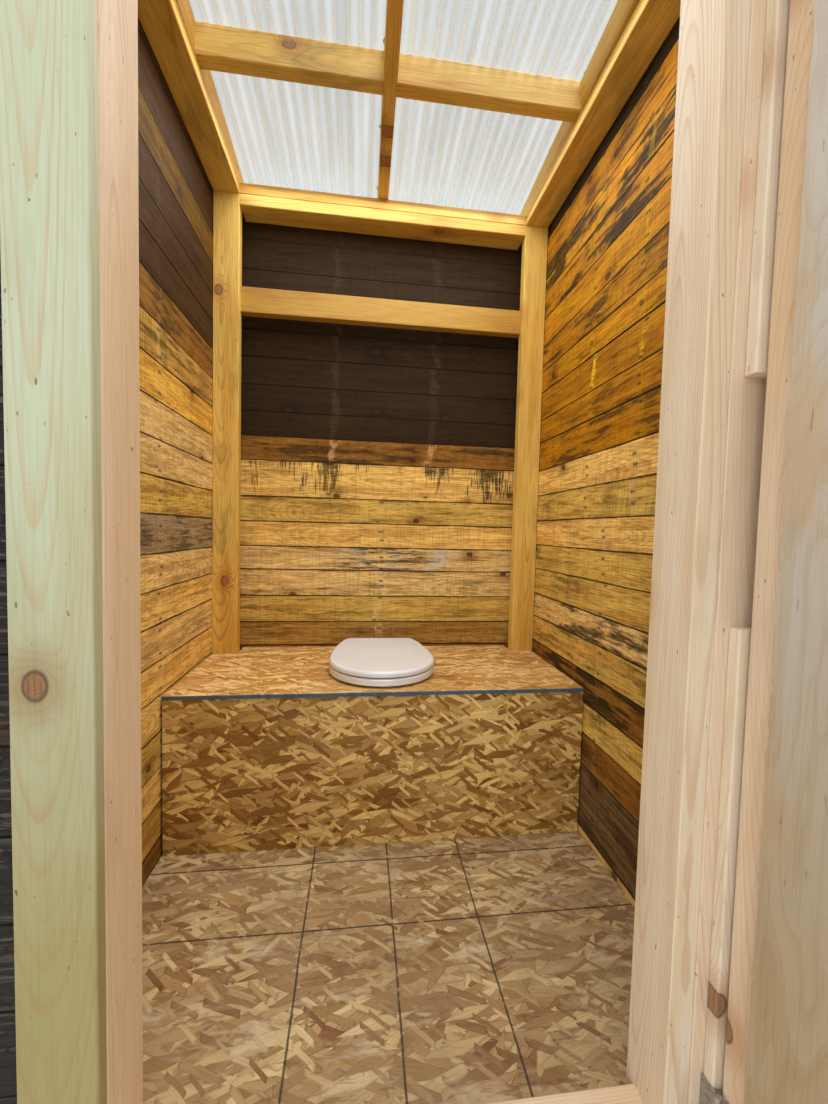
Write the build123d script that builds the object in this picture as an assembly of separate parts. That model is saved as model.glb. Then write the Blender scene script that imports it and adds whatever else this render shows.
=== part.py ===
from build123d import *
import math
import os

# Wooden outhouse: a small timber-framed cabin with a clear corrugated shed roof,
# a boxed-in bench with a seat, and one plank door.
# Millimetres, +X to the right as one faces the doorway, +Y into the building, +Z up.
# The origin is on the ground, at the middle of the building's footprint.

# Sawn timber, dressed sizes
stud_thick = 38.0
stud_wide = 89.0
riser_tall = 89.0
board_thick = 16.0
trim_thick = 19.0
batten_wide = 32.0
eased_edge = 3.0

# Building
frame_wide = 1219.0
frame_deep = 1204.0
joist_count = 5
floor_thick = 18.0
plate_under = 2080.0
wall_foot = 12.0
cladding_drop = 5.0

# Doorway, measured between the two door posts
door_opening_wide = 747.0
sill_forward = 19.0
hinge_batten_gap_low = 794.0
hinge_batten_gap_high = 1135.0
stud_stand_off = 3.5

# Roof
roof_side_lap = 45.0
roof_front_lap = 130.0
roof_back_lap = 70.0
side_rafter_inset = 38.5
blocking_from_seat = 350.0
middle_rafter_off = -20.0
sheet_pitch = 68.0
sheet_depth = 14.0
sheet_thick = 1.0
sheet_proud = 12.0

# Shelf rail between the back posts, measured down from the plates
shelf_below_plate = 394.0
shelf_set_back = 19.0

# Bench
bench_height = 451.0
osb_thick = 11.0
bench_panel_inset = 3.0
bench_side_gap = 4.0

# Seat and lid
seat_from_edge = 25.0
seat_from_wall = 61.0
seat_length = 421.0
seat_wide = 345.0
seat_back_wide = 250.0
seat_corner = 28.0
seat_hole_wide = 210.0
seat_hole_length = 270.0
seat_hole_from_front = 68.0
bench_hole_margin = 6.0
bumper_tall = 8.0
bumper_radius = 9.0
ring_thick = 20.0
ring_edge = 4.0
lid_gap = 5.0
lid_tall = 17.0
lid_edge = 10.0
lid_wall = 5.0
lid_side_wall = 6.0
lid_axis_behind = 12.0
lid_axis_up = 30.0
lid_pin_radius = 4.0
lid_lug_radius = 8.0
lid_lug_inner = 40.0
lid_lug_wide = 20.0
pin_clearance = 0.1

# Door
door_thick_frame = stud_thick
door_skin_thick = 12.0
door_skin_inset = 45.0
door_lap_latch = 26.0
door_foot = 5.0
door_head_over = 5.0
door_rail_wide = stud_wide
door_closed_gap = 5.0
hinge_edge_over = 3.5
hinge_axis_off_batten = 1.0
hinge_knuckle_radius = 5.5
hinge_pin_radius = 3.0
hinge_leaf_thick = 3.0
hinge_leaf_reach = 34.0
hinge_knuckle_tall = 30.0
hinge_leaf_clear = 1.0
hinge_leaf_back_off = 2.0
hinge_from_foot = 45.0
hinge_from_head = 195.0

# General fits
touch_gap = 0.3

# Places worked out from the sizes above
half_wide = frame_wide / 2
front = -frame_deep / 2
back = frame_deep / 2
floor_top = stud_wide + floor_thick
plate_low = floor_top + plate_under
plate_high = plate_low + stud_thick
inner_post_x = half_wide - stud_wide
half_door = door_opening_wide / 2
post_front = back - stud_wide
riser_high = plate_high + riser_tall
roof_slope = riser_tall / (post_front - front)
roof_angle = math.degrees(math.atan(roof_slope))
roof_cos = math.cos(math.radians(roof_angle))
roof_sin = math.sin(math.radians(roof_angle))
bench_top_z = floor_top + bench_height
bench_under_z = bench_top_z - osb_thick
seat_back_y = back - seat_from_wall
seat_front_y = seat_back_y - seat_length
bench_front_y = seat_front_y - seat_from_edge
lid_axis_y = seat_back_y + lid_axis_behind
lid_axis_z = bench_top_z + lid_axis_up
ring_low = bench_top_z + bumper_tall
ring_high = ring_low + ring_thick
lid_low = ring_high + lid_gap

os.makedirs("parts", exist_ok=True)


def block(x0, x1, y0, y1, z0, z1):
    """A straight length of timber or sheet between two corners."""
    size = (x1 - x0, y1 - y0, z1 - z0)
    place = ((x0 + x1) / 2, (y0 + y1) / 2, (z0 + z1) / 2)
    return Pos(*place) * Box(*size)


def timber(x0, x1, y0, y1, z0, z1):
    """A dressed length between two corners, its four long edges eased."""
    length = block(x0, x1, y0, y1, z0, z1)
    spans = {Axis.X: x1 - x0, Axis.Y: y1 - y0, Axis.Z: z1 - z0}
    along = max(spans, key=spans.get)
    return fillet(length.edges().filter_by(along), eased_edge)


def both_sides(piece):
    """The piece and its mirror image on the other side of the building."""
    return Compound(children=[piece, mirror(piece, about=Plane.YZ)])


def side_profile(points, x0, x1):
    """A piece cut to an outline of (y, z) points and x1 - x0 wide."""
    corners = [(x0, y, z) for y, z in points]
    outline = make_face(Polyline(*corners, close=True))
    return extrude(outline, amount=x1 - x0, dir=(1, 0, 0))


def save(node, shape):
    """Write one named piece."""
    shape.label = node
    export_step(shape, "parts/" + node + ".step")


def rafter_under(y):
    """Height of the rafters' lower edge at y."""
    return plate_high + roof_slope * (post_front - y)


# Base: side rims on the ground, cross joists between them and the floor panel
rim = block(half_wide - stud_thick, half_wide, front, back, 0, stud_wide)
save("base_side_rims", both_sides(rim))

joist_half = half_wide - stud_thick
joist_step = (frame_deep - stud_thick) / (joist_count - 1)
joists = []
for index in range(joist_count):
    y0 = front + index * joist_step
    joists.append(block(-joist_half, joist_half, y0, y0 + stud_thick, 0, stud_wide))
save("base_cross_joists", Compound(children=joists))

save("floor_panel", block(-half_wide, half_wide, front, back, stud_wide, floor_top))


# Back corners: flat posts facing the door, with a ripped nailer behind each
post = timber(inner_post_x, half_wide, post_front, post_front + stud_thick, floor_top, plate_low)
save("back_posts", both_sides(post))

nailer = block(half_wide - stud_thick, half_wide, post_front + stud_thick, back, floor_top, plate_low)
save("back_corner_nailers", both_sides(nailer))


# Front wall framing: corner posts, studs and the posts of the doorway
corner = block(half_wide - stud_thick, half_wide, front, front + stud_wide, floor_top, plate_low)
save("front_corner_posts", both_sides(corner))

door_post = timber(half_door, half_door + stud_thick, front, front + stud_wide, floor_top, plate_low)
save("right_door_post", door_post)
save("left_door_post", mirror(door_post, about=Plane.YZ))

# The hinge side's flat stud stands beside the post, face forward, and carries the battens
hinge_stud_x = half_door + stud_thick
hinge_stud = timber(hinge_stud_x, hinge_stud_x + stud_wide, front, front + stud_thick, floor_top, plate_low)
save("hinge_stud", hinge_stud)

trim_outer_x = half_door + stud_wide
stud_x = trim_outer_x + stud_stand_off
stud_y = front + stud_thick
stud = block(stud_x, stud_x + stud_thick, stud_y, stud_y + stud_wide, floor_top, plate_low)
save("front_studs", both_sides(stud))

sill_y = front - sill_forward
sill = timber(-half_door, half_door, sill_y, sill_y + stud_wide, floor_top, floor_top + stud_thick)
save("door_sill", sill)


# Top plates, the doubled back header and the riser that lifts the roof's front edge
side_plate = block(inner_post_x, half_wide, front, back, plate_low, plate_high)
save("side_top_plates", both_sides(side_plate))
front_plate = block(-inner_post_x, inner_post_x, front, front + stud_wide, plate_low, plate_high)
back_plate = block(-inner_post_x, inner_post_x, post_front, back, plate_low, plate_high)
save("cross_top_plates", Compound(children=[front_plate, back_plate]))
header_low = plate_low - stud_thick
save("back_header", block(-inner_post_x, inner_post_x, post_front, back, header_low, plate_low))
riser = block(-half_wide, half_wide, front, front + stud_thick, plate_high, riser_high)
save("front_roof_riser", riser)


# Shelf rail on edge between the back posts
shelf_front = post_front + shelf_set_back
shelf_low = plate_low - shelf_below_plate
shelf_x = inner_post_x
shelf = timber(-shelf_x, shelf_x, shelf_front, shelf_front + stud_thick, shelf_low, shelf_low + stud_wide)
save("shelf_rail", shelf)


# Roof frame: rafters on edge, seated on the back plates and the riser
rafter_front = front - roof_front_lap
rafter_back = back + roof_back_lap
rafter_rise = stud_wide / roof_cos


def rafter(x0, x1):
    """A rafter with a level seat cut over the back plate and over the riser."""
    heel = rafter_under(back)
    points = [
        (rafter_front, rafter_under(rafter_front)),
        (front, riser_high),
        (front + stud_thick, riser_high),
        (front + stud_thick, rafter_under(front + stud_thick)),
        (post_front, plate_high),
        (back, plate_high),
        (back, heel),
        (rafter_back, rafter_under(rafter_back)),
        (rafter_back, rafter_under(rafter_back) + rafter_rise),
        (rafter_front, rafter_under(rafter_front) + rafter_rise),
    ]
    return side_profile(points, x0, x1)


side_rafter_outer = half_wide - side_rafter_inset
side_rafter_inner = side_rafter_outer - stud_thick
side_rafter = rafter(side_rafter_inner, side_rafter_outer)
left_rafter = mirror(side_rafter, about=Plane.YZ)
middle_left = middle_rafter_off - stud_thick / 2
middle_right = middle_rafter_off + stud_thick / 2
middle_rafter = rafter(middle_left, middle_right)
save("rafters", Compound(children=[left_rafter, middle_rafter, side_rafter]))


def on_roof(along, up):
    """The (y, z) point at a distance up the slope from the back seat, and square to it."""
    y = post_front - along * roof_cos + up * roof_sin
    z = plate_high + along * roof_sin + up * roof_cos
    return (y, z)


blocking_outline = [
    on_roof(blocking_from_seat, 0),
    on_roof(blocking_from_seat + stud_thick, 0),
    on_roof(blocking_from_seat + stud_thick, stud_wide),
    on_roof(blocking_from_seat, stud_wide),
]
left_blocking = side_profile(blocking_outline, -side_rafter_inner, middle_left)
right_blocking = side_profile(blocking_outline, middle_right, side_rafter_inner)
save("rafter_blocking", Compound(children=[left_blocking, right_blocking]))


# Roof sheet: clear corrugated sheet, its waves made of arcs that meet tangent to each other
half_wave = sheet_pitch / 2
wave_rise = (sheet_depth - sheet_thick) / 2
wave_radius = (half_wave ** 2 / 4 + wave_rise ** 2) / (2 * wave_rise)
wave_angle = math.asin(half_wave / 2 / wave_radius)
half_wave_count = 2 * round((half_wide + board_thick + roof_side_lap) / sheet_pitch) * 2
sheet_half_wide = half_wave_count * half_wave / 2


def wave_edge(offset):
    """The run of tangent arcs at a distance above or below the sheet's middle."""
    edges = []
    for index in range(half_wave_count):
        sign = 1 if index % 2 == 0 else -1
        x0 = -sheet_half_wide + index * half_wave
        x1 = x0 + half_wave
        lean = sign * math.sin(wave_angle) * offset
        drop = math.cos(wave_angle) * offset
        start = (x0 - lean, drop)
        end = (x1 + lean, drop)
        crest = ((x0 + x1) / 2, sign * wave_rise + offset)
        edges.append(ThreePointArc(start, crest, end))
    return edges


upper = wave_edge(sheet_thick / 2)
lower = wave_edge(-sheet_thick / 2)
left_end = Line(upper[0] @ 0, lower[0] @ 0)
right_end = Line(upper[-1] @ 1, lower[-1] @ 1)
sheet_section = make_face(upper + lower + [left_end, right_end])
sheet_front = (post_front - rafter_front) / roof_cos + sheet_proud
sheet_back = (rafter_back - post_front) / roof_cos + sheet_proud
sheet = extrude(sheet_section, amount=sheet_front + sheet_back)
sheet_mid_up = stud_wide + touch_gap + sheet_depth / 2
sheet_y, sheet_z = on_roof(-sheet_back, sheet_mid_up)
# The section's x runs across the roof, its y stands square to the slope,
# and the sheet is drawn out from the back eave up to the front one.
sheet_plane = Plane(origin=(0, sheet_y, sheet_z), x_dir=(-1, 0, 0), z_dir=(0, -roof_cos, roof_sin))
save("roof_sheet", sheet_plane.location * sheet)


# Walls: one layer of boards nailed to the outside of the frame
wall_top_up = rafter_rise - cladding_drop
side_wall_outline = [
    (front, wall_foot),
    (back + board_thick, wall_foot),
    (back + board_thick, rafter_under(back + board_thick) + wall_top_up),
    (front, rafter_under(front) + wall_top_up),
]
side_wall = side_profile(side_wall_outline, half_wide, half_wide + board_thick)
save("right_wall", side_wall)
save("left_wall", mirror(side_wall, about=Plane.YZ))

back_wall_top = rafter_under(back + board_thick) - cladding_drop
save("back_wall", block(-half_wide, half_wide, back, back + board_thick, wall_foot, back_wall_top))

cladding_outer_x = half_wide + board_thick
front_wall = block(stud_x, cladding_outer_x, front - board_thick, front, wall_foot, plate_low)
save("front_right_wall", front_wall)
left_front = block(trim_outer_x, cladding_outer_x, front - board_thick, front, wall_foot, plate_low)
save("front_left_wall", mirror(left_front, about=Plane.YZ))
over_door_top = rafter_under(front) - cladding_drop
over_door = block(-cladding_outer_x, cladding_outer_x, front - board_thick, front, plate_low, over_door_top)
save("over_door_wall", over_door)


# Trim board on the left post, and the short battens on the hinge side
trim_y = front - trim_thick
trim = timber(-trim_outer_x, -half_door, trim_y, front, floor_top, plate_low)
save("left_door_trim", trim)

batten_x = trim_outer_x - batten_wide
batten_gap_low = floor_top + hinge_batten_gap_low
batten_gap_high = floor_top + hinge_batten_gap_high
low_batten = timber(batten_x, trim_outer_x, trim_y, front, floor_top, batten_gap_low)
high_batten = timber(batten_x, trim_outer_x, trim_y, front, batten_gap_high, plate_low)
save("hinge_battens", Compound(children=[low_batten, high_batten]))


def seat_hole_plan(margin):
    """The long way through the seat, with round ends, grown by a margin."""
    return SlotOverall(seat_hole_length + 2 * margin, seat_hole_wide + 2 * margin, rotation=90)


# Bench: top panel notched round the posts, front panel and the rails that carry them
top_half = half_wide - bench_side_gap
notch_y = post_front - touch_gap
notch_x = inner_post_x - touch_gap
seat_centre_y = seat_front_y + seat_hole_from_front + seat_hole_length / 2
top_panel = block(-top_half, top_half, bench_front_y, notch_y, bench_under_z, bench_top_z)
top_panel += block(-notch_x, notch_x, notch_y - touch_gap, back - touch_gap, bench_under_z, bench_top_z)
hole_cut = extrude(seat_hole_plan(bench_hole_margin), amount=2 * osb_thick)
top_panel -= Pos(0, seat_centre_y, bench_under_z - osb_thick / 2) * hole_cut
save("bench_top", top_panel)

panel_y = bench_front_y + bench_panel_inset
save("bench_front", block(-top_half, top_half, panel_y, panel_y + osb_thick, floor_top, bench_under_z))

rail_low = bench_under_z - stud_wide
front_rail_y = panel_y + osb_thick
front_rail = block(-top_half, top_half, front_rail_y, front_rail_y + stud_thick, rail_low, bench_under_z)
back_rail = block(-notch_x, notch_x, back - stud_thick, back, rail_low, bench_under_z)
save("bench_cross_rails", Compound(children=[front_rail, back_rail]))
side_rail_front = front_rail_y + stud_thick
side_rail = block(half_wide - stud_thick, half_wide, side_rail_front, post_front, rail_low, bench_under_z)
save("bench_side_rails", both_sides(side_rail))


# Seat: ring on bumpers, and a lid that turns on two short pins behind it
def seat_outline(inset):
    """The seat's plan: a round front, sides that curve in to a flat back, round back corners."""
    half = seat_wide / 2 - inset
    back_half = seat_back_wide / 2 - inset
    length = seat_length - 2 * inset
    round_front = ThreePointArc((-half, half), (0, 0), (half, half))
    right = TangentArc((half, half), (back_half, length), tangent=(0, 1))
    rear = Line((back_half, length), (-back_half, length))
    left = TangentArc((-half, half), (-back_half, length), tangent=(0, 1))
    plan = make_face([round_front, right, rear, left])
    rear_corners = plan.vertices().sort_by(Axis.Y)[-2:]
    plan = fillet(rear_corners, seat_corner - inset)
    return Pos(0, seat_front_y + inset, 0) * plan


ring = Pos(0, 0, ring_low) * extrude(seat_outline(0), amount=ring_thick)
ring_hole = extrude(seat_hole_plan(0), amount=2 * ring_thick)
ring -= Pos(0, seat_centre_y, ring_low - ring_thick / 2) * ring_hole
ring = chamfer(ring.faces().sort_by(Axis.Z)[-1].edges(), ring_edge)

bumper_x = (seat_wide + seat_hole_wide) / 4
bumpers = []
for y in (seat_centre_y - seat_hole_length / 4, seat_centre_y + seat_hole_length / 4):
    for x in (-bumper_x, bumper_x):
        bumper = Cylinder(bumper_radius, bumper_tall, align=(Align.CENTER, Align.CENTER, Align.MIN))
        bumpers.append(Pos(x, y, bench_top_z) * bumper)
save("seat_bumpers", Compound(children=bumpers))
save("seat_ring", ring)

lid = Pos(0, 0, lid_low) * extrude(seat_outline(0), amount=lid_tall)
lid = fillet(lid.faces().sort_by(Axis.Z)[-1].edges(), lid_edge)
hollow = Pos(0, 0, lid_low - lid_wall) * extrude(seat_outline(lid_side_wall), amount=lid_tall)
lid -= hollow

# Lugs on the lid's back edge run round the pins of the hinge posts
lug_x = lid_lug_inner + lid_lug_wide / 2
bar_along_x = Rotation(0, 90, 0)
lug_bridge_y = seat_back_y - lid_wall
lug_bridge_low = max(lid_low, lid_axis_z - lid_lug_radius)
for side in (-1, 1):
    knuckle = Pos(side * lug_x, lid_axis_y, lid_axis_z) * bar_along_x * Cylinder(lid_lug_radius, lid_lug_wide)
    x0 = side * lug_x - lid_lug_wide / 2
    x1 = side * lug_x + lid_lug_wide / 2
    bridge = block(x0, x1, lug_bridge_y, lid_axis_y, lug_bridge_low, lid_axis_z + lid_lug_radius)
    bore = Pos(side * lug_x, lid_axis_y, lid_axis_z) * bar_along_x
    lid += knuckle + bridge
    lid -= bore * Cylinder(lid_pin_radius + pin_clearance, lid_lug_wide * 2)
save("seat_lid", lid)

hinge_post_inner = lid_lug_inner + lid_lug_wide + pin_clearance * 5
post_pieces = []
for side in (-1, 1):
    x0 = side * hinge_post_inner
    x1 = side * (hinge_post_inner + lid_lug_wide)
    low_x, high_x = min(x0, x1), max(x0, x1)
    mid_x = (low_x + high_x) / 2
    foot_y = (lid_axis_y - lid_lug_radius, lid_axis_y + lid_lug_radius)
    foot = block(low_x, high_x, *foot_y, bench_top_z, lid_axis_z)
    head = Pos(mid_x, lid_axis_y, lid_axis_z) * bar_along_x * Cylinder(lid_lug_radius, lid_lug_wide)
    pin_reach = lid_lug_wide + pin_clearance * 5
    pin_x = side * (hinge_post_inner - pin_reach / 2)
    pin = Pos(pin_x, lid_axis_y, lid_axis_z) * bar_along_x * Cylinder(lid_pin_radius, pin_reach)
    post_pieces.append(foot + head + pin)
save("seat_hinge_posts", Compound(children=post_pieces))


# Door, modelled standing open at a right angle to the front wall.
# Shut, its skin stops a gap short of the trim board, and the hinges turn in
# the space between the hinge stile and the battens.
hinge_stand_off = hinge_knuckle_radius + hinge_leaf_thick
hinge_axis_x = batten_x + hinge_axis_off_batten
hinge_axis_y = trim_y - door_closed_gap - door_skin_thick + hinge_stand_off
door_plane_x = hinge_axis_x + hinge_stand_off
door_edge_y = hinge_axis_y + hinge_edge_over
door_wide = hinge_axis_x + hinge_edge_over + half_door + door_lap_latch
door_low = floor_top + door_foot
door_high = plate_low + door_head_over


def door_corners(from_hinge, to_latch, inward, outward, z0, z1):
    """Corners of a piece of the open door, from its hinge edge and its frame's inner face."""
    x0 = door_plane_x - inward
    x1 = door_plane_x + outward
    return (x0, x1, door_edge_y - to_latch, door_edge_y - from_hinge, z0, z1)


frame_out = door_thick_frame
hinge_stile = timber(*door_corners(0, stud_wide, 0, frame_out, door_low, door_high))
save("door_hinge_stile", hinge_stile)
latch_from = door_wide - stud_wide
latch_stile = timber(*door_corners(latch_from, door_wide, 0, frame_out, door_low, door_high))
save("door_latch_stile", latch_stile)

rail_from = stud_wide
rail_to = latch_from
door_middle = (door_low + door_high - door_rail_wide) / 2
rails = []
for low in (door_low, door_middle, door_high - door_rail_wide):
    corners = door_corners(rail_from, rail_to, 0, frame_out, low, low + door_rail_wide)
    rails.append(block(*corners))
save("door_rails", Compound(children=rails))

skin_low = door_low + door_skin_inset
skin_high = door_high - door_skin_inset
skin_to = door_wide - door_skin_inset
skin = block(*door_corners(door_skin_inset, skin_to, door_skin_thick, 0, skin_low, skin_high))
save("door_inner_skin", skin)
outer = block(*door_corners(0, door_wide, -frame_out, frame_out + board_thick, door_low, door_high))
save("door_outer_boards", outer)


# Hinges: a leaf with two knuckles and the pin on the batten's side,
# and a leaf with one knuckle on the hinge stile
axis_place = Pos(hinge_axis_x, hinge_axis_y, 0)
at_foot = (Align.CENTER, Align.CENTER, Align.MIN)
leaf_near = hinge_knuckle_radius + hinge_leaf_clear
leaf_right = -hinge_axis_off_batten
leaf_left = leaf_right - hinge_leaf_thick
leaf_far = front - hinge_axis_y - hinge_leaf_back_off
tall = hinge_knuckle_tall
low_hinge = door_low + hinge_from_foot
high_hinge = door_high - hinge_from_head - 3 * tall
fixed_leaves = []
door_leaves = []
for base in (low_hinge, high_hinge):
    top = base + 3 * tall
    fixed = block(leaf_left, leaf_right, leaf_near, leaf_far, base, top)
    for low in (base, base + 2 * tall):
        fixed += Pos(0, 0, low) * Cylinder(hinge_knuckle_radius, tall, align=at_foot)
        fixed += block(leaf_left, leaf_right, 0, leaf_near, low, low + tall)
    fixed += Pos(0, 0, base) * Cylinder(hinge_pin_radius, 3 * tall, align=at_foot)
    fixed_leaves.append(axis_place * fixed)

    low = base + tall + touch_gap
    high = base + 2 * tall - touch_gap
    moving = Pos(0, 0, low) * Cylinder(hinge_knuckle_radius, high - low, align=at_foot)
    moving += block(0, hinge_stand_off, -hinge_leaf_thick, 0, low, high)
    moving += block(hinge_knuckle_radius, hinge_stand_off, -leaf_near, 0, low, high)
    moving += block(hinge_knuckle_radius, hinge_stand_off, -hinge_leaf_reach, -leaf_near, base, top)
    bore = Cylinder(hinge_pin_radius + pin_clearance, 3 * tall, align=at_foot)
    moving -= Pos(0, 0, base) * bore
    door_leaves.append(axis_place * moving)
save("hinge_fixed_leaves", Compound(children=fixed_leaves))
save("hinge_door_leaves", Compound(children=door_leaves))
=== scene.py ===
# %% [markdown]
# # A timber outhouse
#
# A small shed of new framing timber, closed in with reclaimed boards, with a clear
# corrugated roof, a boxed-in bench and one door. The solids come packed as a fixed frame.
# Each step below dresses some of them: it takes a copy of a solid, eases its edges or cuts
# it into boards, and gives it a finish made of texture nodes.

# %% Load the fixed frame
import math
import random

import bmesh
import bpy
from mathutils import Matrix, Vector


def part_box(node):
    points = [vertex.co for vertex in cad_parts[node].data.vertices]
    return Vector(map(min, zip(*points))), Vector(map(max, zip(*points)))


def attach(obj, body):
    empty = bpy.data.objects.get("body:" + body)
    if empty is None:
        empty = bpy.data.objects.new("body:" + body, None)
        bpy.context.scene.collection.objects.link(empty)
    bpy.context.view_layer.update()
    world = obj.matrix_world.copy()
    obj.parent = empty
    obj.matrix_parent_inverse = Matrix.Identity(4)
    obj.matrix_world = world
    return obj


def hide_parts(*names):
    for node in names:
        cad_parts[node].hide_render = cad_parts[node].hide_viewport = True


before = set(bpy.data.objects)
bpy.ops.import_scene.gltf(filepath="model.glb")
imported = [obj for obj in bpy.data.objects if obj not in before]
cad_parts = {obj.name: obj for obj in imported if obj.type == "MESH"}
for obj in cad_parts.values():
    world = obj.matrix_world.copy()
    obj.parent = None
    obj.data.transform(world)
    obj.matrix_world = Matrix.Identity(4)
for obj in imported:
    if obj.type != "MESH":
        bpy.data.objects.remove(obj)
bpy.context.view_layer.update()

# %% [markdown]
# ## Where the camera stands
#
# The picture is taken from just in front of the doorway with a very short lens, held at
# chest height, turned a little to the right, tipped a little down and rolled slightly.
# A camera in Blender looks along its own -Z with +Y up, so the three directions of the
# picture (right, up, and back towards the eye) are the columns of its matrix.

# %% Camera
FRONT_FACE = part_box("floor_panel")[0].y
FLOOR_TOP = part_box("floor_panel")[1].z
EYE_TO_LEFT, EYE_BEFORE_DOORWAY, EYE_OVER_FLOOR = 0.0787, 0.5478, 0.9162
EYE = Vector((-EYE_TO_LEFT, FRONT_FACE - EYE_BEFORE_DOORWAY, FLOOR_TOP + EYE_OVER_FLOOR))
YAW, PITCH, ROLL = math.radians(6.98), math.radians(-2.74), math.radians(-1.42)
SHORT_LENS, SENSOR = 14.36, 36.0

ahead = Vector((math.sin(YAW) * math.cos(PITCH), math.cos(YAW) * math.cos(PITCH), math.sin(PITCH)))
level = Vector((math.cos(YAW), -math.sin(YAW), 0.0))
down = ahead.cross(level)
right = level * math.cos(ROLL) + down * math.sin(ROLL)
up = -(down * math.cos(ROLL) - level * math.sin(ROLL))

camera_data = bpy.data.cameras.new("camera")
camera_data.lens = SHORT_LENS
camera_data.sensor_width = SENSOR
camera_data.clip_start = 0.01
camera = bpy.data.objects.new("camera", camera_data)
turn = Matrix((right, up, -ahead)).transposed().to_4x4()
camera.matrix_world = Matrix.Translation(EYE) @ turn
bpy.context.collection.objects.link(camera)
bpy.context.scene.camera = camera
print("camera at", [round(v, 3) for v in EYE])

# %% [markdown]
# ## Arithmetic on material sockets
#
# A wood finish is a page of sums: distances to a growth ring, masks for stains, bands for
# the marks of old nails. Wiring each sum by hand hides it, so one small class wraps a
# socket and turns Python's own operators into Math nodes, and one method adds any other
# kind of node.


# %% Wire and Finish
class Wire:
    """One output socket, with arithmetic."""

    def __init__(self, finish, socket):
        self.finish = finish
        self.socket = socket

    def math(self, operation, *others):
        values = dict(enumerate((self,) + others))
        return self.finish.node("ShaderNodeMath", {"operation": operation}, values)

    def __add__(self, other):
        return self.math("ADD", other)

    def __sub__(self, other):
        return self.math("SUBTRACT", other)

    def __mul__(self, other):
        return self.math("MULTIPLY", other)

    def __truediv__(self, other):
        return self.math("DIVIDE", other)

    __radd__ = __add__
    __rmul__ = __mul__

    def __rsub__(self, other):
        return (self * -1.0) + other

    def clamp(self):
        return self.math("MINIMUM", 1.0).math("MAXIMUM", 0.0)

    def also(self, name):
        """Another output of the same node."""
        return Wire(self.finish, self.socket.node.outputs[name])


class Finish:
    """A material under construction."""

    def __init__(self, name):
        self.material = bpy.data.materials.new(name)
        self.material.use_nodes = True
        self.tree = self.material.node_tree
        self.tree.nodes.clear()

    def node(self, kind, settings=None, inputs=None, output=0):
        """Any node: its settings first, then the values or links of its sockets."""
        node = self.tree.nodes.new(kind)
        for key, value in (settings or {}).items():
            setattr(node, key, value)
        for key, value in (inputs or {}).items():
            if isinstance(value, Wire):
                self.tree.links.new(value.socket, node.inputs[key])
            else:
                node.inputs[key].default_value = value
        return Wire(self, node.outputs[output])

    def attribute(self, name, output="Vector"):
        return self.node("ShaderNodeAttribute", {"attribute_name": name}, output=output)

    def split(self, vector):
        first = self.node("ShaderNodeSeparateXYZ", {}, {0: vector})
        outputs = first.socket.node.outputs
        return [Wire(self, socket) for socket in outputs]

    def join(self, x, y, z):
        return self.node("ShaderNodeCombineXYZ", {}, {0: x, 1: y, 2: z})

    def noise(self, vector, scale, detail=3.0, rough=0.55):
        sizes = {"Vector": vector, "Scale": scale, "Detail": detail, "Roughness": rough}
        return self.node("ShaderNodeTexNoise", {}, sizes)

    def step(self, value, low, high):
        """0 below low and 1 above high, with a smooth slope; low may be the larger."""
        settings = {"interpolation_type": "SMOOTHSTEP", "clamp": True}
        ends = {1: low, 2: high, 3: 0.0, 4: 1.0} if low < high else {1: high, 2: low, 3: 1.0, 4: 0.0}
        return self.node("ShaderNodeMapRange", settings, {0: value, **ends})

    def mix(self, factor, first, second, blend="MIX"):
        settings = {"data_type": "RGBA", "blend_type": blend, "clamp_factor": True}
        return self.node("ShaderNodeMix", settings, {0: factor, 6: first, 7: second}, 2)

    def shade(self, colour, roughness, height=None, bump=0.3, depth=0.001, **constants):
        """Ends the finish in one Principled shader."""
        inputs = {"Base Color": colour, "Roughness": roughness}
        inputs.update(constants)
        if height is not None:
            sizes = {"Strength": bump, "Distance": depth, "Height": height}
            inputs["Normal"] = self.node("ShaderNodeBump", {}, sizes)
        shader = self.node("ShaderNodeBsdfPrincipled", {}, inputs)
        end = self.tree.nodes.new("ShaderNodeOutputMaterial")
        self.tree.links.new(shader.socket, end.inputs["Surface"])
        return self.material


def tint(red, green, blue):
    """A colour as a screen shows it, 0 to 255, turned into the light that a shader needs."""
    parts = [c / 255.0 for c in (red, green, blue)]
    light = [c / 12.92 if c <= 0.04045 else ((c + 0.055) / 1.055) ** 2.4 for c in parts]
    return (light[0], light[1], light[2], 1.0)


print("cream timber is", [round(v, 3) for v in tint(226, 202, 162)[:3]])

# %% [markdown]
# ## Boards that know their own grain
#
# Wood grain follows the board and not the room. So each board's points carry where they
# are along, across and into that board, how large the board is, and a number of its own,
# and the finishes read those. A wall of boards is the wall's solid cut into rows, which
# keeps its sloping top and its true thickness.


# %% Helpers that take a solid apart
UP = Vector((0.0, 0.0, 1.0))
ACROSS = Vector((1.0, 0.0, 0.0))
INWARD = Vector((0.0, 1.0, 0.0))
# A face narrower than this is part of a rounded edge and is shaded smooth.
ROUND_STRIP = 0.004
# The angle between two faces, in radians, past which their edge is sharp.
SHARP = 0.5
# How far a board's own number may lie from 0, and how far its bearer marks may slip.
NUMBER_REACH, MARK_SLIP, MARK_TWIST = 40.0, 0.008, 40.0
# A place far off every board, for marks that a board doesn't have.
NOWHERE = 9.0
made = []


def take(node):
    """A copy of a solid's mesh with its loose triangles joined into flat faces."""
    bm = bmesh.new()
    bm.from_mesh(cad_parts[node].data)
    bmesh.ops.remove_doubles(bm, verts=bm.verts, dist=1e-5)
    bmesh.ops.dissolve_limit(bm, angle_limit=math.radians(1.0), verts=bm.verts, edges=bm.edges)
    return bm


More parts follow.
